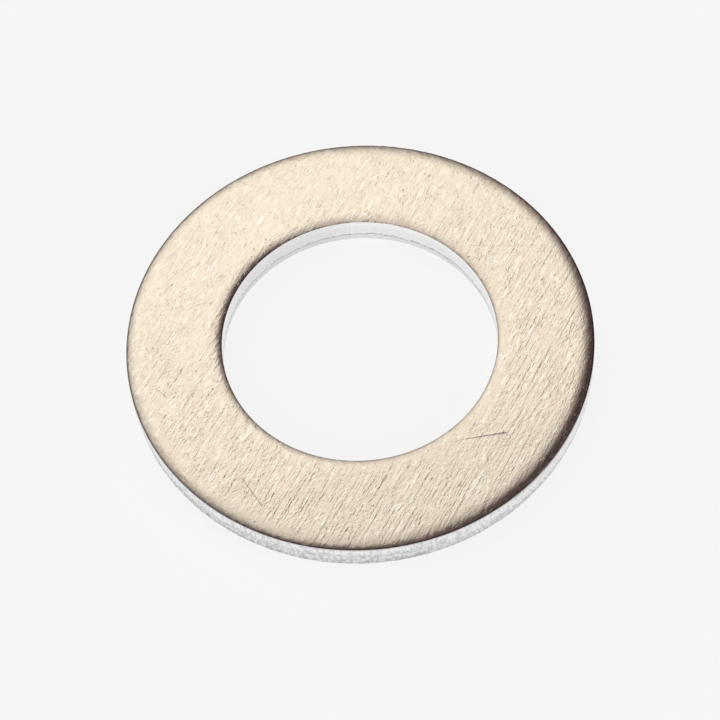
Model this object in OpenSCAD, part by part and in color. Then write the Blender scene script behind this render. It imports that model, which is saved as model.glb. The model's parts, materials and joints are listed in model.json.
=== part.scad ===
// Flat metal sealing gasket, blanked from soft aluminium sheet in one stroke.
// Both edges keep the marks of the punch and the die: the upper face rolls over at the rim and at
// the bore, a smooth sheared band stands below each roll, and a torn band slopes away to the foot.

/* [Ring] */
// Outside diameter, at the smooth band of the rim
outer_d = 13.9; // [12.5:0.1:20]
// Bore diameter, at the smooth band of the bore wall
bore_d = 8.2; // [5:0.1:9]
// Thickness of the sheet
thickness = 1; // [0.8:0.05:2]

/* [Rim edge] */
// Width of the rolled edge at the rim, measured across the upper face
rim_roll_w = 0.72; // [0.1:0.01:0.8]
// Depth of the rolled edge at the rim, below the upper face
rim_roll_h = 0.07; // [0.02:0.01:0.2]
// Height of the torn band at the rim, above the lower face
rim_torn_h = 0.5; // [0.1:0.01:0.58]
// How far the torn band of the rim slopes inwards at the lower face
rim_torn_w = 0.02; // [0.01:0.005:0.1]

/* [Bore edge] */
// Width of the rolled edge at the bore, measured across the upper face
bore_roll_w = 0.58; // [0.1:0.01:0.8]
// Depth of the rolled edge at the bore, below the upper face
bore_roll_h = 0.05; // [0.02:0.01:0.2]
// Height of the torn band in the bore, above the lower face
bore_torn_h = 0.3; // [0.1:0.01:0.58]
// How far the torn band of the bore opens outwards at the lower face
bore_torn_w = 0.03; // [0.01:0.005:0.1]

/* [Hidden] */
outer_r = outer_d / 2;
bore_r = bore_d / 2;
// Straight steps along the curve of one rolled edge
roll_steps = 10;
// How much steeper a rolled edge gets towards its lip
roll_power = 4;
$fn = 180;

// Points of a rolled edge, from the lip on the wall up to the flat face. The edge runs out level and
// bends down ever steeper to the lip, where the points lie closer together. Metal lies on the side
// of the wall that metal_side points to.
function rolled_edge(wall_r, roll_w, roll_h, metal_side) =
    [for (step = [0:roll_steps])
        let (share = pow(step / roll_steps, 2))
        [wall_r + metal_side * roll_w * share, thickness - roll_h * pow(1 - share, roll_power)]];

// Points of one sheared wall, from the foot of the torn band to the flat upper face
function sheared_wall(wall_r, roll_w, roll_h, torn_w, torn_h, metal_side) =
    concat(
        [[wall_r + metal_side * torn_w, 0], [wall_r, torn_h]],
        rolled_edge(wall_r, roll_w, roll_h, metal_side)
    );

// Points in the opposite order, so that the second wall runs down and closes the section
function reversed(points) = [for (i = [len(points) - 1:-1:0]) points[i]];

// Section of the ring in the half plane, radius across and height up
module blanked_section() {
    rim_wall = sheared_wall(outer_r, rim_roll_w, rim_roll_h, rim_torn_w, rim_torn_h, -1);
    bore_wall = sheared_wall(bore_r, bore_roll_w, bore_roll_h, bore_torn_w, bore_torn_h, 1);
    polygon(concat(rim_wall, reversed(bore_wall)));
}

// The gasket lies on its torn side, with its axis on Z and its lower face at Z = 0
module gasket() {
    color([0.93, 0.87, 0.79])
        rotate_extrude()
            blanked_section();
}

gasket();
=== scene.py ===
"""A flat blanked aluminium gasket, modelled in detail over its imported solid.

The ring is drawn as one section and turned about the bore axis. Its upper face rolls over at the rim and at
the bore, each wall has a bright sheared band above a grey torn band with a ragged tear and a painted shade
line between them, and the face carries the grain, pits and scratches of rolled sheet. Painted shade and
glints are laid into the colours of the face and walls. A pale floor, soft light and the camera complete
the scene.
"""

import json
import logging
import math
from collections import defaultdict
from dataclasses import dataclass, field
from enum import Enum

import bpy
from mathutils import Matrix, Vector


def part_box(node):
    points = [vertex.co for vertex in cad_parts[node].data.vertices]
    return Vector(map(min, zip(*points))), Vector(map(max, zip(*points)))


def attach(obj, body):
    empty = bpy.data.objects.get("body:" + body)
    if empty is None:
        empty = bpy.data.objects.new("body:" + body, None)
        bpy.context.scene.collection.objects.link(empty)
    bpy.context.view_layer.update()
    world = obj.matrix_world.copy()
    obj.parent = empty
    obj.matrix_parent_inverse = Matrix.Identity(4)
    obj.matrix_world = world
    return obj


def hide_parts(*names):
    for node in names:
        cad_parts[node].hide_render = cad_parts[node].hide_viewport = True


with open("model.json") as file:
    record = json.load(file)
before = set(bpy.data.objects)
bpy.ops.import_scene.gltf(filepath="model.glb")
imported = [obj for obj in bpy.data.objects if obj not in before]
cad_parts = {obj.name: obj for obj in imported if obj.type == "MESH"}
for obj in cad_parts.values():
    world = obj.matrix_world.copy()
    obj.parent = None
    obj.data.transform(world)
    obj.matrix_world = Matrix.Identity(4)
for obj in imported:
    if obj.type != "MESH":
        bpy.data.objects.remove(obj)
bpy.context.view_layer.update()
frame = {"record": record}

MM = 0.001
NODE_NAME = "gasket"
BODY_NAME = "root"
TEAR_ATTRIBUTE = "above_tear"
GRAIN_TURN = math.radians(57)

log = logging.getLogger("gasket")

Point = tuple[float, float]
Triple = tuple[float, float, float]
Socket = bpy.types.NodeSocket


class Zone(Enum):
    """Surfaces of the ring that have a finish of their own; the value is the material index."""

    FACE = 0
    WALL = 1


class Side(Enum):
    """Which way the metal lies from a wall, as a sign along the radius."""

    RIM = -1
    BORE = 1


@dataclass(frozen=True)
class Edge:
    """Section of one blanked edge, in metres.

    The edge rolls over at the top, ever steeper up to a lip, stands upright along the sheared band and
    slopes away along the torn band.
    """

    side: Side
    wall_r: float
    roll_w: float
    roll_h: float
    torn_w: float
    torn_h: float
    thickness: float
    roll_power: int = 4
    roll_steps: int = 16
    sheared_steps: int = 8
    torn_steps: int = 14

    @property
    def wall_top(self) -> float:
        """Height at which the wall meets the roll in a lip."""
        return self.thickness - self.roll_h

    def rolled(self) -> list[Point]:
        """Returns the points of the rolled edge, from the lip up to the flat face and closer at the lip."""
        points = []
        for step in range(self.roll_steps + 1):
            share = (step / self.roll_steps) ** 2
            drop = self.roll_h * (1 - share) ** self.roll_power
            points.append((self.wall_r + self.side.value * self.roll_w * share, self.thickness - drop))
        return points

    def torn(self) -> list[Point]:
        """Returns the points of the torn band, from the foot up to the tear line."""
        points = []
        for step in range(self.torn_steps + 1):
            share = step / self.torn_steps
            inset = self.torn_w * (1 - share)
            points.append((self.wall_r + self.side.value * inset, self.torn_h * share))
        return points

    def sheared(self) -> list[Point]:
        """Returns the points of the sheared band, without its ends on the tear line and the lip."""
        rise = (self.wall_top - self.torn_h) / self.sheared_steps
        return [(self.wall_r, self.torn_h + rise * step) for step in range(1, self.sheared_steps)]

    def points(self) -> list[Point]:
        """Returns the whole edge, from the foot to the flat upper face."""
        return self.torn() + self.sheared() + self.rolled()

    def pull(self, height: float) -> float:
        """Says how far a point of the wall follows the tear line.

        Args:
            height: Height of the point above the foot.

        Returns:
            1 at the tear line, falling to 0 at the foot and at the lip.
        """
        if height < self.torn_h:
            return height / self.torn_h
        return max((self.wall_top - height) / (self.wall_top - self.torn_h), 0)

    def sink(self, height: float) -> float:
        """Says how far a point of the edge follows the lip.

        Args:
            height: Height of the point above the foot.

        Returns:
            1 at the lip, falling to 0 at the flat face and at the tear line.
        """
        if height > self.wall_top:
            return (self.thickness - height) / self.roll_h
        return max((height - self.torn_h) / (self.wall_top - self.torn_h), 0)

    def tear(self, height: float) -> float:
        """Says how rough the torn metal is at a height: 0 down to the tear line, then rising to 1."""
        depth = (self.torn_h - height) / self.torn_h
        return min(max(depth * 4, 0), 1)


class NodeSheet:
    """Short ways to add and join shader nodes in one node tree."""

    def __init__(self, tree: bpy.types.NodeTree) -> None:
        """Keeps the tree and empties it."""
        self.tree = tree
        tree.nodes.clear()

    def add(self, kind: str, **settings: object) -> bpy.types.Node:
        """Adds a node and sets its own properties.

        Args:
            kind: The node's type name.
            settings: Properties of the node, by name.

        Returns:
            The new node.
        """
        node = self.tree.nodes.new(kind)
        for name, value in settings.items():
            setattr(node, name, value)
        return node

    def feed(self, socket: Socket, value: object) -> None:
        """Joins another socket to this one, or sets its constant.

        Args:
            socket: The input that receives the value.
            value: An output socket, a number, a vector or a colour.
        """
        if isinstance(value, Socket):
            self.tree.links.new(value, socket)
        else:
            socket.default_value = value

    def math(self, operation: str, *values: object, clamp: bool = False) -> Socket:
        """Adds a Math node.

        Args:
            operation: The operation's name.
            values: Numbers or sockets, in order.
            clamp: Whether the result is kept between 0 and 1.

        Returns:
            The node's output.
        """
        node = self.add("ShaderNodeMath", operation=operation, use_clamp=clamp)
        for socket, value in zip(node.inputs, values):
            self.feed(socket, value)
        return node.outputs[0]

    def vector(self, operation: str, first: object, second: object, result: str = "Vector") -> Socket:
        """Adds a Vector Math node.

        Args:
            operation: The operation's name.
            first: A vector or socket.
            second: A vector or socket, or the factor of a scale.
            result: Name of the output that is wanted.

        Returns:
            The node's output.
        """
        node = self.add("ShaderNodeVectorMath", operation=operation)
        self.feed(node.inputs[0], first)
        self.feed(node.inputs["Scale"] if operation == "SCALE" else node.inputs[1], second)
        return node.outputs[result]

    def ramp(self, value: object, low: object, high: object, start: float = 0.0, end: float = 1.0) -> Socket:
        """Eases a value from one range to another with a smooth step.

        Args:
            value: The number or socket to map.
            low: Where the step begins.
            high: Where the step ends.
            start: Result at and before the beginning.
            end: Result at and after the end.

        Returns:
            The mapped value.
        """
        node = self.add("ShaderNodeMapRange", interpolation_type="SMOOTHSTEP")
        names = ("Value", "From Min", "From Max", "To Min", "To Max")
        for name, given in zip(names, (value, low, high, start, end)):
            self.feed(node.inputs[name], given)
        return node.outputs["Result"]

    def tint(self, share: object, first: object, second: object) -> Socket:
        """Mixes two colours.

        Args:
            share: How much of the second colour shows.
            first: Colour or socket at share 0.
            second: Colour or socket at share 1.

        Returns:
            The mixed colour.
        """
        node = self.add("ShaderNodeMix", data_type="RGBA")
        for index, value in ((0, share), (6, first), (7, second)):
            self.feed(node.inputs[index], (*value, 1) if isinstance(value, tuple) else value)
        return node.outputs[2]

    def total(self, *terms: tuple[object, float]) -> Socket:
        """Adds up values, each times its own factor.

        Args:
            terms: Pairs of a socket and a factor.

        Returns:
            The sum.
        """
        value: object = 0.0
        for socket, factor in terms:
            value = self.math("MULTIPLY_ADD", socket, factor, value)
        return value

    def times(self, first: object, second: object) -> Socket:
        """Multiplies two values."""
        return self.math("MULTIPLY", first, second)

    def along(self, place: Socket, way: object) -> Socket:
        """Returns how far a place or a ray reaches in a direction."""
        return self.vector("DOT_PRODUCT", place, way, "Value")

    def radius(self, place: Socket) -> Socket:
        """Returns the distance of a place from the bore axis."""
        return self.vector("LENGTH", self.vector("MULTIPLY", place, (1, 1, 0)), (0, 0, 0), "Value")

    def drawn_out(self, place: Socket, turn: Socket, stretch: Socket) -> Socket:
        """Turns coordinates about the bore axis and then stretches them.

        Args:
            place: The coordinates.
            turn: The angle of the grain from +X.
            stretch: Factors along and across the grain and along the bore axis.

        Returns:
            The new coordinates.
        """
        turned = self.add("ShaderNodeVectorRotate", rotation_type="Z_AXIS", invert=True)
        self.feed(turned.inputs["Vector"], place)
        self.feed(turned.inputs["Angle"], turn)
        return self.vector("MULTIPLY", turned.outputs["Vector"], stretch)

    def millimetres(self) -> Socket:
        """Returns the object's own coordinates in millimetres."""
        place = self.add("ShaderNodeTexCoord")
        return self.vector("SCALE", place.outputs["Object"], 1 / MM)

    def noise(self, place: Socket, scale: float, detail: float = 2.0) -> Socket:
        """Returns the value of a noise texture at a place."""
        node = self.add("ShaderNodeTexNoise", noise_dimensions="3D")
        node.inputs["Scale"].default_value = scale
        node.inputs["Detail"].default_value = detail
        self.feed(node.inputs["Vector"], place)
        return node.outputs["Fac"]

    def effect(self, effect: "Effect", *values: object) -> Socket:
        """Places a shared effect.

        Args:
            effect: The effect.
            values: Its inputs, in order.

        Returns:
            The effect's value.
        """
        node = self.add("ShaderNodeGroup", node_tree=effect.tree)
        for socket, value in zip(node.inputs, values):
            self.feed(socket, value)
        return node.outputs[0]

    def metal(self, colour: Socket, roughness: Socket, height: Socket) -> None:
        """Ends a material with bare metal.

        Args:
            colour: The metal's colour.
            roughness: The metal's roughness.
            height: The relief of the surface, in millimetres.
        """
        bump = self.add("ShaderNodeBump")
        bump.inputs["Distance"].default_value = MM
        self.feed(bump.inputs["Height"], height)
        shader = self.add("ShaderNodeBsdfPrincipled")
        shader.inputs["Metallic"].default_value = 1.0
        self.feed(shader.inputs["Base Color"], colour)
        self.feed(shader.inputs["Roughness"], roughness)
        self.feed(shader.inputs["Normal"], bump.outputs["Normal"])
        output = self.add("ShaderNodeOutputMaterial")
        self.feed(output.inputs["Surface"], shader.outputs["BSDF"])


class Effect:
    """A node group with named inputs and one value out."""

    def __init__(self, name: str, vectors: tuple[str, ...], numbers: tuple[str, ...]) -> None:
        """Makes the group and its sockets.

        Args:
            name: The group's name.
            vectors: Names of the inputs that are vectors, which come first.
            numbers: Names of the inputs that are numbers.
        """
        self.tree = bpy.data.node_groups.new(name, "ShaderNodeTree")
        for label in vectors:
            self.tree.interface.new_socket(name=label, in_out="INPUT", socket_type="NodeSocketVector")
        for label in numbers:
            self.tree.interface.new_socket(name=label, in_out="INPUT", socket_type="NodeSocketFloat")
        self.tree.interface.new_socket(name="Value", in_out="OUTPUT", socket_type="NodeSocketFloat")
        self.sheet = NodeSheet(self.tree)
        self.given = self.sheet.add("NodeGroupInput").outputs
        self.end = self.sheet.add("NodeGroupOutput").inputs["Value"]

    def give(self, value: Socket) -> "Effect":
        """Sends a value out of the group."""
        self.sheet.feed(self.end, value)
        return self


class EffectShelf:
    """The effects that the finishes share, each built once."""

    def __init__(self) -> None:
        """Builds the effects."""
        self.lines = self.build_lines()
        self.specks = self.build_specks()
        self.scratch = self.build_scratch()

    def build_lines(self) -> Effect:
        """Returns drawn-out noise, for rolled grain and for drag lines."""
        effect = Effect("drawn_lines", ("Place", "Stretch"), ("Turn", "Waver", "Detail"))
        sheet, given = effect.sheet, effect.given
        noise = sheet.add("ShaderNodeTexNoise", noise_dimensions="3D")
        noise.inputs["Scale"].default_value = 1.0
        sheet.feed(noise.inputs["Vector"], sheet.drawn_out(given["Place"], given["Turn"], given["Stretch"]))
        sheet.feed(noise.inputs["Detail"], given["Detail"])
        sheet.feed(noise.inputs["Distortion"], given["Waver"])
        return effect.give(noise.outputs["Fac"])

    def build_specks(self) -> Effect:
        """Returns scattered specks, one to a cell and only in a share of the cells."""
        effect = Effect("scattered_specks", ("Place", "Stretch"), ("Turn", "Share", "Size"))
        sheet, given = effect.sheet, effect.given
        cells = sheet.add("ShaderNodeTexVoronoi", voronoi_dimensions="3D", feature="F1")
        cells.inputs["Scale"].default_value = 1.0
        sheet.feed(cells.inputs["Vector"], sheet.drawn_out(given["Place"], given["Turn"], given["Stretch"]))
        parts = sheet.add("ShaderNodeSeparateColor")
        sheet.feed(parts.inputs["Color"], cells.outputs["Color"])
        chosen = sheet.math("LESS_THAN", parts.outputs["Red"], given["Share"])
        heart = sheet.times(given["Size"], 0.3)
        speck = sheet.ramp(cells.outputs["Distance"], given["Size"], heart)
        return effect.give(sheet.times(chosen, speck))

    def build_scratch(self) -> Effect:
        """Returns one straight scratch that widens from its start to its end."""
        effect = Effect("straight_scratch", ("Place", "Start", "End"), ("Half width", "Depth"))
        sheet, given = effect.sheet, effect.given
        run = sheet.vector("SUBTRACT", given["End"], given["Start"])
        reach = sheet.vector("SUBTRACT", given["Place"], given["Start"])
        share = sheet.math("DIVIDE", sheet.along(reach, run), sheet.along(run, run), clamp=True)
        nearest = sheet.vector("SCALE", run, share)
        gap = sheet.vector("DISTANCE", reach, nearest, "Value")
        width = sheet.times(given["Half width"], sheet.math("MULTIPLY_ADD", share, 0.6, 0.4))
        mark = sheet.ramp(gap, width, sheet.times(width, 0.3))
        return effect.give(sheet.times(mark, given["Depth"]))


@dataclass(frozen=True)
class Scratch:
    """One scratch or speck on the upper face, in millimetres from the bore axis.

    It widens from its start to its end, and its depth is a share of the deepest scratch's.
    """

    start: Point
    end: Point
    half_width: float
    depth: float


SCRATCHES = (
    Scratch((2.46, -3.78), (2.90, -3.72), 0.025, 0.3),
    Scratch((2.80, -3.73), (3.96, -3.65), 0.032, 1.0),
    Scratch((-3.76, -4.29), (-3.22, -5.28), 0.026, 0.55),
    Scratch((-6.11, -1.07), (-5.80, -1.41), 0.03, 0.4),
    Scratch((-5.40, -1.05), (-5.71, -1.39), 0.03, 0.2),
    Scratch((-4.13, 3.40), (-5.07, 2.82), 0.026, 0.15),
    Scratch((-5.95, 2.07), (-5.45, 2.47), 0.028, 0.2),
    Scratch((-4.64, 1.85), (-4.40, 1.64), 0.028, 0.2),
    Scratch((-5.06, -4.24), (-4.68, -3.70), 0.035, 0.25),
    Scratch((2.40, -4.33), (2.03, -4.84), 0.025, 0.2),
    Scratch((3.61, 2.85), (5.41, 2.64), 0.026, 0.15),
    Scratch((4.72, 0.10), (5.22, 0.01), 0.028, 0.15),
    Scratch((-2.95, -5.15), (-2.85, -5.45), 0.028, 0.2),
    Scratch((3.46, 2.45), (3.52, 2.45), 0.04, 0.9),
    Scratch((1.74, 5.07), (1.77, 5.07), 0.035, 0.9),
    Scratch((1.11, 6.18), (1.13, 6.18), 0.035, 0.7),
    Scratch((-2.57, 3.76), (-2.53, 3.76), 0.035, 0.8),
    Scratch((2.08, -4.95), (2.14, -4.95), 0.035, 0.8),
    Scratch((2.45, -5.23), (2.49, -5.23), 0.035, 0.7),
)


@dataclass(frozen=True)
class Lines:
    """One layer of drawn-out noise, with its waves per millimetre along each axis of the grain."""

    stretch: Triple
    waver: float
    detail: float = 0.0
    turn: float = 0.0

    def value(self, sheet: NodeSheet, shelf: EffectShelf, place: Socket) -> Socket:
        """Places the layer and returns its value."""
        return sheet.effect(shelf.lines, place, self.stretch, self.turn, self.waver, self.detail)


@dataclass(frozen=True)
class Specks:
    """One layer of specks, with its cells per millimetre and the share of the cells that hold a speck."""

    stretch: Triple
    share: float
    size: float
    turn: float = 0.0

    def value(self, sheet: NodeSheet, shelf: EffectShelf, place: Socket) -> Socket:
        """Places the layer and returns its value."""
        return sheet.effect(shelf.specks, place, self.stretch, self.turn, self.share, self.size)


@dataclass(frozen=True)
class RolledFinish:
    """Satin rolled sheet: the upper and lower faces and the rolled edges. Lengths are in millimetres.

    Each tone is the share of the shade colour that a mark takes on. Smudges and scratches are the sheet's
    own tone; the hollows, creases, pits, lips, bore roll and near side take on painted shade, and glint is a
    painted highlight. Each way is a direction in the plane of the sheet, towards the side that is rougher,
    lighter by a painted highlight or darker by painted shade.
    """

    rim_r: float
    bore_r: float
    thickness: float
    # The warm tint of the face colour is painted warm reflected light; the same metal on the walls is
    # neutral grey.
    colour: Triple = (0.85, 0.731, 0.582)
    # Glint: colour of the painted highlights, laid on glint flecks and on the far-left side of the face.
    glint: Triple = (0.98, 0.915, 0.77)
    # Shade: colour of the painted shade on the face, also used for its real smudges and scratches.
    shade: Triple = (0.31, 0.26, 0.235)
    roughness: float = 0.15
    shade_roughness: float = 0.1
    streak: Lines = Lines((0.6, 11.0, 0.6), waver=0.15, detail=1.0, turn=GRAIN_TURN)
    grain: Lines = Lines((3.6, 7.0, 3.6), waver=1.6, turn=GRAIN_TURN)
    wrinkle: Lines = Lines((7.5, 8.5, 7.5), waver=2.0, turn=GRAIN_TURN)
    fleck: Lines = Lines((2.8, 10.0, 2.8), waver=0.8, turn=GRAIN_TURN)
    fold: Lines = Lines((1.6, 4.5, 1.6), waver=1.2, detail=1.0, turn=GRAIN_TURN)
    pit: Specks = Specks((4.0, 9.0, 4.0), share=0.3, size=0.25, turn=GRAIN_TURN)
    streak_depth: float = 0.0075
    grain_depth: float = 0.004
    wrinkle_depth: float = 0.0032
    crease_depth: float = 0.0012
    pit_depth: float = 0.003
    scratch_depth: float = 0.006
    hollow_shade_tone: float = 0.1
    crease_shade_tone: float = 0.06
    pit_shade_tone: float = 0.12
    smudge_tone: float = 0.05
    near_shade_tone: float = 0.06
    scratch_tone: float = 0.5
    rim_lip_shade_tone: float = 0.9
    bore_lip_shade_tone: float = 0.55
    bore_roll_shade_tone: float = 0.1
    fleck_glint: float = 0.65
    lit_side_glint: float = 0.08
    lip_w: float = 0.08
    rim_roll_w: float = 0.665
    bore_roll_w: float = 0.3167
    rough_way: Triple = (-0.7, -0.7, 0.0)
    rough_gain: float = 1.6
    lit_side_way: Triple = (-0.6, 0.8, 0.0)
    near_shade_way: Triple = (0.2, -1.0, 0.0)

    def material(self, shelf: EffectShelf) -> bpy.types.Material:
        """Builds the face's material.

        Args:
            shelf: The shared effects.

        Returns:
            The material.
        """
        material = bpy.data.materials.new("rolled_face")
        material.use_nodes = True
        sheet = NodeSheet(material.node_tree)
        place = sheet.millimetres()
        radius = sheet.radius(place)
        from_rim = sheet.math("SUBTRACT", self.rim_r, radius)
        from_bore = sheet.math("SUBTRACT", radius, self.bore_r)
        # How far a place lies towards the far-left side, which gets a painted highlight and less painted
        # shade at the bore lip.
        lit_side = sheet.along(place, self.lit_side_way)
        grain = self.grain.value(sheet, shelf, place)
        rolling = self.rolling(sheet, shelf, place, grain)
        rolling = sheet.times(rolling, sheet.ramp(from_rim, 0.0, self.rim_roll_w, 0.25, 1.0))
        rolling = sheet.times(rolling, sheet.ramp(from_bore, 0.0, self.bore_roll_w, 0.3, 1.0))
        creases = self.creases(sheet, shelf, place)
        pits = self.pit.value(sheet, shelf, place)
        scratches = self.scratches(sheet, shelf, place)
        relief = sheet.total(
            (rolling, 1.0),
            (creases, -self.crease_depth),
            (pits, -self.pit_depth),
            (scratches, -self.scratch_depth),
        )
        # Mask of the bore lip, where painted shade goes.
        bore_lip = sheet.ramp(from_bore, self.lip_w, 0.0)
        # Painted shade in grain hollows, creases, pits, along the lips, on the bore roll and on the near
        # side; smudges and scratches are the sheet's own tone.
        dark = sheet.total(
            (sheet.ramp(grain, 0.48, 0.28), self.hollow_shade_tone),
            (creases, self.crease_shade_tone),
            (pits, self.pit_shade_tone),
            (sheet.ramp(sheet.noise(place, 0.9, 3.0), 0.5, 0.7), self.smudge_tone),
            # Painted shade on the near side of the face.
            (sheet.ramp(sheet.along(place, self.near_shade_way), 3.0, 5.0), self.near_shade_tone),
            (scratches, self.scratch_tone),
            # Painted shade: a dark line of reflected shade along the rim lip.
            (sheet.ramp(from_rim, self.lip_w, self.lip_w / 4), self.rim_lip_shade_tone),
            # Painted shade along the bore lip, weaker on the far-left side, and over the bore roll.
            (sheet.times(bore_lip, sheet.ramp(lit_side, 3.0, -2.0, 0.3, 1.0)), self.bore_lip_shade_tone),
            (sheet.ramp(from_bore, self.lip_w * 6, 0.0), self.bore_roll_shade_tone),
        )
        dark = sheet.math("MINIMUM", dark, 1.0)
        # Painted highlights: glint flecks along the grain, and a lighter far-left side of the face.
        glint_flecks = sheet.ramp(self.fleck.value(sheet, shelf, place), 0.58, 0.74)
        bright = sheet.total((glint_flecks, self.fleck_glint), (sheet.ramp(lit_side, 0.0, 3.5), self.lit_side_glint))
        sheet.metal(
            colour=sheet.tint(dark, sheet.tint(bright, self.colour, self.glint), self.shade),
            roughness=sheet.math("MULTIPLY_ADD", dark, self.shade_roughness, self.roughness),
            height=relief,
        )
        return material

    def rolling(self, sheet: NodeSheet, shelf: EffectShelf, place: Socket, grain: Socket) -> Socket:
        """Adds up the marks that the rolls left, in patches and deeper on the rough side.

        Args:
            sheet: The material's nodes.
            shelf: The shared effects.
            place: Coordinates in millimetres.
            grain: The value of the grain layer.

        Returns:
            The height of the marks, in millimetres.
        """
        streak = self.streak.value(sheet, shelf, place)
        wrinkle = self.wrinkle.value(sheet, shelf, place)
        marks = sheet.total(
            (sheet.math("SUBTRACT", streak, 0.5), self.streak_depth),
            (sheet.math("SUBTRACT", grain, 0.5), self.grain_depth),
            (sheet.math("SUBTRACT", wrinkle, 0.5), self.wrinkle_depth),
        )
        rough_side = sheet.ramp(sheet.along(place, self.rough_way), 1.0, 6.0, 1.0, self.rough_gain)
        patches = sheet.ramp(sheet.noise(place, 1.3, 1.0), 0.35, 0.65, 0.8, 1.2)
        return sheet.times(sheet.times(marks, rough_side), patches)

    def creases(self, sheet: NodeSheet, shelf: EffectShelf, place: Socket) -> Socket:
        """Draws fine broken lines, where a drawn-out noise crosses its middle value.

        Args:
            sheet: The material's nodes.
            shelf: The shared effects.
            place: Coordinates in millimetres.

        Returns:
            1 on a line and 0 beside it.
        """
        folds = sheet.math("SUBTRACT", self.fold.value(sheet, shelf, place), 0.5)
        line = sheet.ramp(sheet.math("ABSOLUTE", folds), 0.022, 0.0)
        return sheet.times(line, sheet.ramp(sheet.noise(place, 3.5, 1.0), 0.5, 0.62))

    def scratches(self, sheet: NodeSheet, shelf: EffectShelf, place: Socket) -> Socket:
        """Lays the scratches over each other.

        Args:
            sheet: The material's nodes.
            shelf: The shared effects.
            place: Coordinates in millimetres.

        Returns:
            The depth of the scratches, as a share of the deepest.
        """
        deepest: object = 0.0
        for scratch in SCRATCHES:
            start = (*scratch.start, self.thickness)
            end = (*scratch.end, self.thickness)
            mark = sheet.effect(shelf.scratch, place, start, end, scratch.half_width, scratch.depth)
            deepest = sheet.math("MAXIMUM", deepest, mark)
        return deepest


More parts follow.
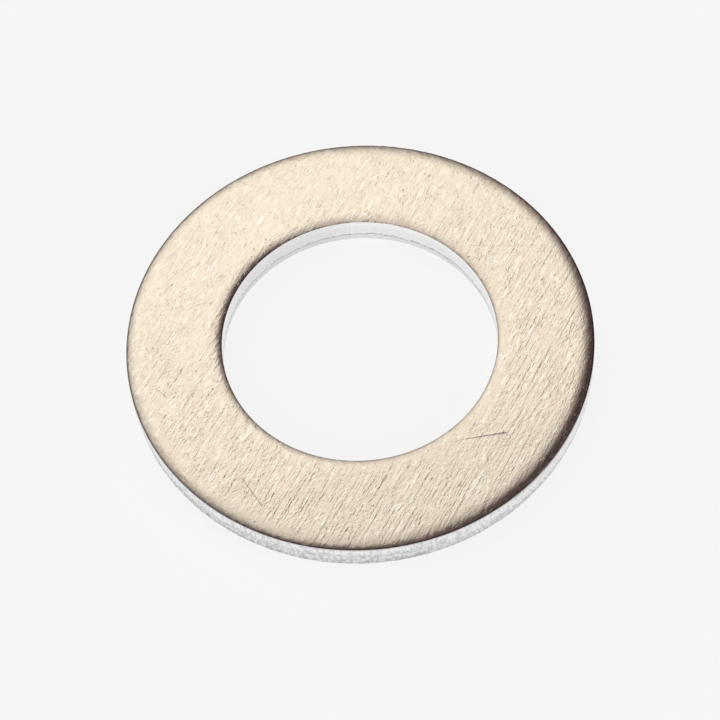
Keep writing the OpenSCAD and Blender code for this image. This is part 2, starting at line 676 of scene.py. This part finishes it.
@dataclass(frozen=True)
class WallFinish:
    """Blanked walls: a bright band that the die rubbed smooth, and a matt grey one where the sheet tore.

    The rim is mottled, most of all on its rugged side, and the bore less so. Painted shade runs as a line
    along each tear, clearest where the wall is least marked, as in the bore, darkens each wall lower down
    and on the far left, and lies under the rim's lip, deepest on the near right. Lengths are in millimetres.
    """

    rim_r: float
    bore_r: float
    sheared: Triple = (0.955, 0.955, 0.955)
    # Drawn: colour of the drag lines, also used for painted shade low on the sheared band and on the
    # far-left walls.
    drawn: Triple = (0.66, 0.66, 0.665)
    torn: Triple = (0.895, 0.895, 0.9)
    # Broken: colour of the torn band's marks, also used for painted shade at the foot, along the tear and
    # under the rim's lip.
    broken: Triple = (0.40, 0.40, 0.405)
    # Colour of the painted shadow under the rim's lip on the near right.
    lip_shadow_colour: Triple = (0.17, 0.165, 0.17)
    sheared_roughness: float = 0.26
    torn_roughness: float = 0.5
    drag: Lines = Lines((11.0, 11.0, 4.0), waver=0.4, detail=1.0)
    mottle: Lines = Lines((9.0, 9.0, 5.0), waver=0.7, detail=1.0)
    speck: Specks = Specks((8.0, 8.0, 5.0), share=0.4, size=0.36)
    drag_depth: float = 0.004
    mottle_depth: float = 0.012
    speck_depth: float = 0.004
    rub_tone: float = 0.8
    wear_tone: float = 0.5
    foot_shade_tone: float = 0.3
    low_wall_shade_tone: float = 0.2
    far_shade_tone: float = 0.35
    wall_top_shade_tone: float = 0.65
    lip_shadow_tone: float = 0.75
    tear_blur: float = 0.08
    ragged_h: float = 0.5
    tear_shade_h: float = 0.06
    bore_share: float = 0.35
    rugged_way: Triple = (-0.6, -0.8, 0.0)
    far_shade_way: Triple = (-0.57, 0.82, 0.0)
    lip_shadow_way: Triple = (0.87, -0.5, 0.0)

    def material(self, shelf: EffectShelf) -> bpy.types.Material:
        """Builds the walls' material.

        Args:
            shelf: The shared effects.

        Returns:
            The material.
        """
        material = bpy.data.materials.new("blanked_wall")
        material.use_nodes = True
        sheet = NodeSheet(material.node_tree)
        place = sheet.millimetres()
        height = sheet.along(place, (0.0, 0.0, 1.0))
        above = sheet.add("ShaderNodeAttribute", attribute_name=TEAR_ATTRIBUTE).outputs["Fac"]
        rimward = sheet.ramp(sheet.radius(place), self.bore_r, self.rim_r)
        rugged = sheet.ramp(sheet.along(place, self.rugged_way), -1.0, 5.0, 0.4, 1.0)
        marked = sheet.math("MULTIPLY_ADD", rimward, 1 - self.bore_share, self.bore_share)
        marked = sheet.times(marked, rugged)
        drag = self.drag.value(sheet, shelf, place)
        mottle = self.mottle.value(sheet, shelf, place)
        specks = self.speck.value(sheet, shelf, place)
        uneven = sheet.times(sheet.math("SUBTRACT", mottle, 0.5), rugged)
        ragged = sheet.math("MULTIPLY_ADD", uneven, self.ragged_h, above)
        torn = sheet.ramp(ragged, self.tear_blur, -self.tear_blur)
        rubs = sheet.total((sheet.ramp(drag, 0.56, 0.36), self.rub_tone), (specks, self.rub_tone))
        # Painted shade: the sheared band grows darker lower down.
        low_wall_shade = sheet.ramp(height, 0.84, 0.6, 0.0, self.low_wall_shade_tone)
        rubbed = sheet.tint(sheet.math("MULTIPLY_ADD", rubs, marked, low_wall_shade), self.sheared, self.drawn)
        # Real mottling and specks of the torn band, plus painted shade towards the foot.
        wear_and_foot_shade = sheet.total(
            (sheet.ramp(mottle, 0.62, 0.36), self.wear_tone),
            (specks, self.wear_tone),
            (sheet.ramp(height, 0.35, 0.0), self.foot_shade_tone),
        )
        broken = sheet.tint(sheet.times(wear_and_foot_shade, marked), self.torn, self.broken)
        # Painted shade: a line along the tear, where the sheared band overhangs the torn band.
        line = sheet.ramp(sheet.math("ABSOLUTE", ragged), self.tear_shade_h, 0.0)
        line = sheet.times(line, sheet.ramp(marked, 0.5, 1.0, 0.85, 0.2))
        # Painted shade on the far-left walls.
        far_shade = sheet.ramp(sheet.along(place, self.far_shade_way), 3.1, 4.0, 0.0, self.far_shade_tone)
        # Painted shade at the top of the rim wall, under its lip.
        lip = sheet.times(sheet.ramp(height, 0.8, 0.93, 0.0, self.wall_top_shade_tone), rimward)
        # Painted shadow under the rim's lip, on the near-right side.
        lip_shadow_side = sheet.ramp(sheet.along(place, self.lip_shadow_way), 5.8, 6.7)
        lip_shadow = sheet.times(sheet.ramp(height, 0.68, 0.95, 0.0, self.lip_shadow_tone), lip_shadow_side)
        colour = sheet.tint(torn, rubbed, broken)
        colour = sheet.tint(line, colour, self.broken)
        colour = sheet.tint(far_shade, colour, self.drawn)
        colour = sheet.tint(lip, colour, self.broken)
        colour = sheet.tint(lip_shadow, colour, self.lip_shadow_colour)
        relief = sheet.total(
            (drag, self.drag_depth),
            (sheet.times(mottle, torn), self.mottle_depth),
            (specks, -self.speck_depth),
        )
        rough = sheet.ramp(torn, 0.0, 1.0, self.sheared_roughness, self.torn_roughness)
        sheet.metal(colour=colour, roughness=rough, height=relief)
        return material


@dataclass(frozen=True)
class Swell:
    """A place where part of an edge lies higher or lower, in millimetres and in degrees from +X."""

    group: str
    azimuth: float
    reach: float
    depth: float
    level: float
    size: float

    def spot(self) -> Vector:
        """Returns the middle of the place, level with the foot of the ring."""
        turn = math.radians(self.azimuth)
        return Vector((math.cos(turn), math.sin(turn), 0)) * self.reach


SWELLS = (
    Swell("rim_pull", azimuth=-100, reach=7.0, depth=0.33, level=0.7, size=8.0),
    Swell("rim_pull", azimuth=-50, reach=7.0, depth=-0.15, level=0.0, size=4.0),
    Swell("rim_sink", azimuth=-25, reach=7.0, depth=-0.019, level=0.0, size=7.0),
    Swell("bore_sink", azimuth=-80, reach=4.1, depth=0.012, level=0.0, size=6.0),
    Swell("bore_sink", azimuth=80, reach=4.1, depth=0.012, level=0.0, size=4.0),
    Swell("bore_sink", azimuth=167, reach=4.1, depth=-0.02, level=0.0, size=4.2),
)


@dataclass
class GasketRing:
    """The gasket: one ring, turned from the section of its two edges and roughened at its lips and tears."""

    rim: Edge
    bore: Edge
    turn_steps: int = 960
    face_steps: int = 4
    merge_gap: float = 0.0001 * MM
    smooth_angle: float = math.radians(40)
    finishes: tuple[RolledFinish, WallFinish] = field(init=False)

    def __post_init__(self) -> None:
        """Makes the two finishes from the ring's sizes."""
        rim_r = self.rim.wall_r / MM
        bore_r = self.bore.wall_r / MM
        rolled = RolledFinish(rim_r=rim_r, bore_r=bore_r, thickness=self.rim.thickness / MM)
        self.finishes = (rolled, WallFinish(rim_r=rim_r, bore_r=bore_r))

    def section(self) -> list[Point]:
        """Returns the closed section: up the bore wall, over the face, down the rim and back underneath."""
        rim = self.rim.points()
        bore = self.bore.points()
        upper = self.between(bore[-1], rim[-1])
        lower = self.between(rim[0], bore[0])
        return bore + upper + rim[::-1] + lower + bore[:1]

    def between(self, start: Point, end: Point) -> list[Point]:
        """Returns the points that divide a straight stretch of the section, without its ends."""
        shares = [step / self.face_steps for step in range(1, self.face_steps)]
        return [tuple(a + (b - a) * share for a, b in zip(start, end)) for share in shares]

    def build(self) -> bpy.types.Object:
        """Models the ring.

        Returns:
            The finished object.
        """
        ring = self.draw_section()
        self.turn(ring)
        self.mark_walls(ring)
        self.roughen(ring)
        bpy.ops.object.shade_smooth_by_angle(angle=self.smooth_angle)
        shelf = EffectShelf()
        for finish in self.finishes:
            ring.data.materials.append(finish.material(shelf))
        return ring

    def draw_section(self) -> bpy.types.Object:
        """Draws the section as one closed chain of edges, a vertex extruded from point to point."""
        bpy.ops.object.select_all(action="DESELECT")
        bpy.ops.mesh.primitive_plane_add(size=MM)
        ring = bpy.context.object
        ring.name = "gasket_ring"
        ring.data.name = "gasket_ring"
        corners = [Vector((r, 0, z)) for r, z in self.section()]
        bpy.ops.object.mode_set(mode="EDIT")
        bpy.ops.mesh.merge(type="CENTER")
        bpy.ops.transform.translate(value=corners[0])
        for here, there in zip(corners, corners[1:]):
            bpy.ops.mesh.extrude_vertices_move(TRANSFORM_OT_translate={"value": there - here})
        bpy.ops.mesh.select_all(action="SELECT")
        bpy.ops.mesh.remove_doubles(threshold=self.merge_gap)
        bpy.ops.object.mode_set(mode="OBJECT")
        return ring

    def turn(self, ring: bpy.types.Object) -> None:
        """Turns the section about the bore axis and points its faces outwards."""
        bpy.ops.object.modifier_add(type="SCREW")
        screw = ring.modifiers[-1]
        screw.axis = "Z"
        screw.angle = 2 * math.pi
        screw.steps = self.turn_steps
        screw.render_steps = self.turn_steps
        screw.use_merge_vertices = True
        screw.merge_threshold = self.merge_gap
        bpy.ops.object.modifier_apply(modifier=screw.name)
        bpy.ops.object.mode_set(mode="EDIT")
        bpy.ops.mesh.select_all(action="SELECT")
        bpy.ops.mesh.normals_make_consistent(inside=False)
        bpy.ops.object.mode_set(mode="OBJECT")

    def edge_at(self, place: Vector) -> Edge:
        """Returns the edge that a point of the ring lies nearer to."""
        middle = (self.rim.wall_r + self.bore.wall_r) / 2
        return self.rim if place.xy.length > middle else self.bore

    def on_wall(self, edge: Edge, place: Vector) -> bool:
        """Says whether a point lies on an edge's wall, below its roll."""
        inset = abs(place.xy.length - edge.wall_r)
        return inset < edge.torn_w + self.merge_gap and place.z < edge.wall_top + self.merge_gap

    def mark_walls(self, ring: bpy.types.Object) -> None:
        """Marks on each edge the height above its tear line, its finish and how far its points may move."""
        above = ring.data.attributes.new(TEAR_ATTRIBUTE, "FLOAT", "POINT")
        rows: dict[tuple[Side, float], list[int]] = defaultdict(list)
        for vertex in ring.data.vertices:
            edge = self.edge_at(vertex.co)
            above.data[vertex.index].value = (vertex.co.z - edge.torn_h) / MM
            if self.on_wall(edge, vertex.co) or vertex.co.z > edge.wall_top:
                rows[edge.side, round(vertex.co.z / self.merge_gap)].append(vertex.index)
        for edge in (self.rim, self.bore):
            measures = {"pull": edge.pull, "tear": edge.tear, "sink": edge.sink}
            for name, measure in measures.items():
                group = ring.vertex_groups.new(name=f"{edge.side.name.lower()}_{name}")
                for (side, level), members in rows.items():
                    if side is edge.side:
                        group.add(members, measure(level * self.merge_gap), "REPLACE")
        for face in ring.data.polygons:
            edge = self.edge_at(face.center)
            upright = abs(face.normal.z) < 0.5 and self.on_wall(edge, face.center)
            face.material_index = Zone.WALL.value if upright else Zone.FACE.value

    def roughen(self, ring: bpy.types.Object) -> None:
        """Makes the lips and the tear lines wander and the torn metal rough."""
        ball = bpy.data.textures.new("swell", type="BLEND")
        ball.progression = "SPHERICAL"
        for swell in SWELLS:
            depth = swell.depth * MM
            spot = swell.spot() * MM
            self.displace(ring, ball, swell.group, "Z", depth, swell.level, spot, swell.size * MM)
        wander = self.clouds("tear_wander", grain=0.5, layers=3)
        notches = self.clouds("lip_notches", grain=0.12, layers=2)
        crumble = self.clouds("torn_crumble", grain=0.11, layers=1)
        for name, wave, notch, depth in (("rim", 0.14, 0.02, 0.02), ("bore", 0.12, 0.012, 0.015)):
            self.displace(ring, wander, f"{name}_pull", axis="Z", depth=wave * MM, level=0.5)
            self.displace(ring, notches, f"{name}_sink", axis="Z", depth=notch * MM, level=0.5)
            self.displace(ring, crumble, f"{name}_tear", axis="NORMAL", depth=depth * MM, level=1.0)

    def clouds(self, name: str, grain: float, layers: int) -> bpy.types.Texture:
        """Makes a cloudy texture.

        Args:
            name: The texture's name.
            grain: Size of its lumps, in millimetres.
            layers: How many finer layers it has.

        Returns:
            The texture.
        """
        texture = bpy.data.textures.new(name, type="CLOUDS")
        texture.noise_scale = grain
        texture.noise_depth = layers
        return texture

    def displace(
        self,
        ring: bpy.types.Object,
        texture: bpy.types.Texture,
        group: str,
        axis: str,
        depth: float,
        level: float,
        spot: Vector = Vector((0, 0, 0)),
        size: float = MM,
    ) -> None:
        """Moves the points of a vertex group by a texture, and makes the result part of the mesh.

        Args:
            ring: The ring.
            texture: What says how far each point moves.
            group: Name of the vertex group.
            axis: Direction of the movement.
            depth: How far the texture's whole range moves a point.
            level: Value of the texture at which a point stays where it is.
            spot: Middle of the texture.
            size: Length of one unit of the texture.
        """
        measure = bpy.data.objects.new("texture_place", None)
        measure.location = spot
        measure.scale = (size, size, size)
        bpy.context.scene.collection.objects.link(measure)
        bpy.context.view_layer.update()
        bpy.ops.object.modifier_add(type="DISPLACE")
        displace = ring.modifiers[-1]
        displace.texture = texture
        displace.texture_coords = "OBJECT"
        displace.texture_coords_object = measure
        displace.vertex_group = group
        displace.direction = axis
        displace.strength = depth
        displace.mid_level = level
        bpy.ops.object.modifier_apply(modifier=displace.name)
        bpy.data.objects.remove(measure)


@dataclass(frozen=True)
class SoftLight:
    """One round soft light far away, with angles in degrees."""

    azimuth: float
    elevation: float
    sharpness: float
    strength: float

    def direction(self) -> Vector:
        """Returns the way to the light; the azimuth runs from +Y towards +X."""
        across = math.radians(self.azimuth)
        above = math.radians(self.elevation)
        level = math.cos(above)
        return Vector((math.sin(across) * level, math.cos(across) * level, math.sin(above)))

    def brightness(self, sheet: NodeSheet, ray: Socket) -> Socket:
        """Returns the light's brightness in the direction looked at."""
        nearness = sheet.along(ray, self.direction())
        fall = sheet.math("MULTIPLY_ADD", nearness, self.sharpness, -self.sharpness)
        return sheet.times(sheet.math("EXPONENT", fall), self.strength)


@dataclass
class Studio:
    """Pale floor, soft light and the photograph's camera."""

    floor_size: float = 4.0
    floor_drop: float = 0.002 * MM
    floor_grey: float = 0.3
    floor_glow: float = 0.79
    main_lights: tuple[SoftLight, ...] = (
        SoftLight(azimuth=-15, elevation=53, sharpness=8.5, strength=1.11),
        SoftLight(azimuth=13, elevation=58, sharpness=130, strength=0.32),
        SoftLight(azimuth=-174, elevation=86, sharpness=29, strength=2.4),
    )
    side_lights: tuple[SoftLight, ...] = (
        SoftLight(azimuth=108, elevation=31, sharpness=25, strength=0.65),
        SoftLight(azimuth=120, elevation=28, sharpness=18, strength=0.9),
        SoftLight(azimuth=180, elevation=28, sharpness=18, strength=0.9),
        SoftLight(azimuth=-120, elevation=28, sharpness=18, strength=0.9),
        SoftLight(azimuth=-95, elevation=42, sharpness=20, strength=0.55),
        SoftLight(azimuth=180, elevation=84, sharpness=30, strength=0.14),
    )
    hood: SoftLight = SoftLight(azimuth=-19, elevation=37, sharpness=0, strength=1)
    hood_reach: Point = (0.55, 0.92)
    light_level: float = 1.0
    even_level: float = 0.055
    dusk_colour: Triple = (1.0, 0.78, 0.86)
    backdrop_level: float = 0.9
    backdrop_reach: Point = (0.10, 0.32)
    elevation: float = math.radians(59.81)
    roll: float = math.radians(5.45)
    distance: float = 76.77 * MM
    lens_mm: float = 127.98
    shift: Point = (-0.00144, -0.00768)

    def build(self) -> None:
        """Builds the floor, the light and the camera."""
        self.build_floor()
        self.build_light()
        self.build_camera()

    def build_floor(self) -> None:
        """Lays the floor under the ring."""
        bpy.ops.object.select_all(action="DESELECT")
        bpy.ops.mesh.primitive_plane_add(size=self.floor_size, location=(0, 0, -self.floor_drop))
        floor = bpy.context.object
        floor.name = "studio_floor"
        material = bpy.data.materials.new("pale_floor")
        material.use_nodes = True
        sheet = NodeSheet(material.node_tree)
        path = sheet.add("ShaderNodeLightPath")
        seen = sheet.math("MAXIMUM", path.outputs["Is Camera Ray"], path.outputs["Is Glossy Ray"])
        seen = sheet.math("MAXIMUM", seen, path.outputs["Is Transmission Ray"])
        matt = sheet.add("ShaderNodeBsdfDiffuse")
        matt.inputs["Color"].default_value = (self.floor_grey, self.floor_grey, self.floor_grey, 1)
        glow = sheet.add("ShaderNodeEmission")
        sheet.feed(glow.inputs["Strength"], sheet.times(seen, self.floor_glow))
        both = sheet.add("ShaderNodeAddShader")
        sheet.feed(both.inputs[0], matt.outputs["BSDF"])
        sheet.feed(both.inputs[1], glow.outputs["Emission"])
        output = sheet.add("ShaderNodeOutputMaterial")
        sheet.feed(output.inputs["Surface"], both.outputs["Shader"])
        floor.data.materials.append(material)

    def build_light(self) -> None:
        """Fills the surroundings with soft lights, the main ones under a hood, and a pale low backdrop."""
        world = bpy.data.worlds.new("soft_studio")
        bpy.context.scene.world = world
        world.use_nodes = True
        sheet = NodeSheet(world.node_tree)
        ray = sheet.add("ShaderNodeTexCoord").outputs["Generated"]
        main = sheet.total(*((light.brightness(sheet, ray), self.light_level) for light in self.main_lights))
        sides = sheet.total(*((light.brightness(sheet, ray), 1.0) for light in self.side_lights))
        towards = sheet.along(ray, self.hood.direction())
        lit = sheet.math("MULTIPLY_ADD", main, sheet.ramp(towards, *self.hood_reach), sides)
        height = sheet.along(ray, (0, 0, 1))
        backdrop = sheet.ramp(height, *self.backdrop_reach, self.backdrop_level, self.even_level)
        level = sheet.math("ADD", lit, backdrop)
        background = sheet.add("ShaderNodeBackground")
        dusk = sheet.ramp(level, self.even_level, self.even_level * 10)
        sheet.feed(background.inputs["Color"], sheet.tint(dusk, self.dusk_colour, (1.0, 1.0, 1.0)))
        sheet.feed(background.inputs["Strength"], level)
        output = sheet.add("ShaderNodeOutputWorld")
        sheet.feed(output.inputs["Surface"], background.outputs["Background"])

    def build_camera(self) -> None:
        """Places the camera at the photograph's viewing angle and makes it the scene's camera."""
        back = Vector((0, -math.cos(self.elevation), math.sin(self.elevation)))
        right = Vector((1, 0, 0))
        up = back.cross(right)
        across = right * math.cos(self.roll) - up * math.sin(self.roll)
        upwards = right * math.sin(self.roll) + up * math.cos(self.roll)
        data = bpy.data.cameras.new("photo_camera")
        data.lens = self.lens_mm
        data.sensor_width = 36
        data.shift_x, data.shift_y = self.shift
        data.clip_start = MM
        data.clip_end = self.floor_size * 2
        camera = bpy.data.objects.new("photo_camera", data)
        turn = Matrix((across, upwards, back)).transposed().to_4x4()
        camera.matrix_world = Matrix.Translation(back * self.distance) @ turn
        bpy.context.scene.collection.objects.link(camera)
        bpy.context.scene.camera = camera


def measured_edges() -> tuple[Edge, Edge]:
    """Takes the ring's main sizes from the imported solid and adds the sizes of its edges.

    Returns:
        The rim's edge and the bore's edge.
    """
    low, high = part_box(NODE_NAME)
    thickness = high[2] - low[2]
    mounts = {mount["name"]: mount for mount in frame["record"]["mounts"]}
    rim = Edge(
        side=Side.RIM,
        wall_r=high[0],
        roll_w=0.72 * MM,
        roll_h=0.07 * MM,
        torn_w=0.02 * MM,
        torn_h=0.5 * MM,
        thickness=thickness,
    )
    bore = Edge(
        side=Side.BORE,
        wall_r=mounts["bore"]["dims"]["r_mm"] * MM,
        roll_w=0.58 * MM,
        roll_h=0.05 * MM,
        torn_w=0.03 * MM,
        torn_h=0.3 * MM,
        thickness=thickness,
    )
    return rim, bore


def main() -> None:
    """Builds the ring and the studio."""
    logging.basicConfig(level=logging.INFO, format="%(name)s: %(message)s")
    bpy.context.scene.view_settings.view_transform = "Standard"
    rim, bore = measured_edges()
    ring = GasketRing(rim=rim, bore=bore).build()
    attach(ring, BODY_NAME)
    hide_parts(NODE_NAME)
    log.info("%s: %d faces", ring.name, len(ring.data.polygons))
    Studio().build()
    log.info("studio: floor, light and camera")
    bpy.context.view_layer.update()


if __name__ == "__main__":
    main()
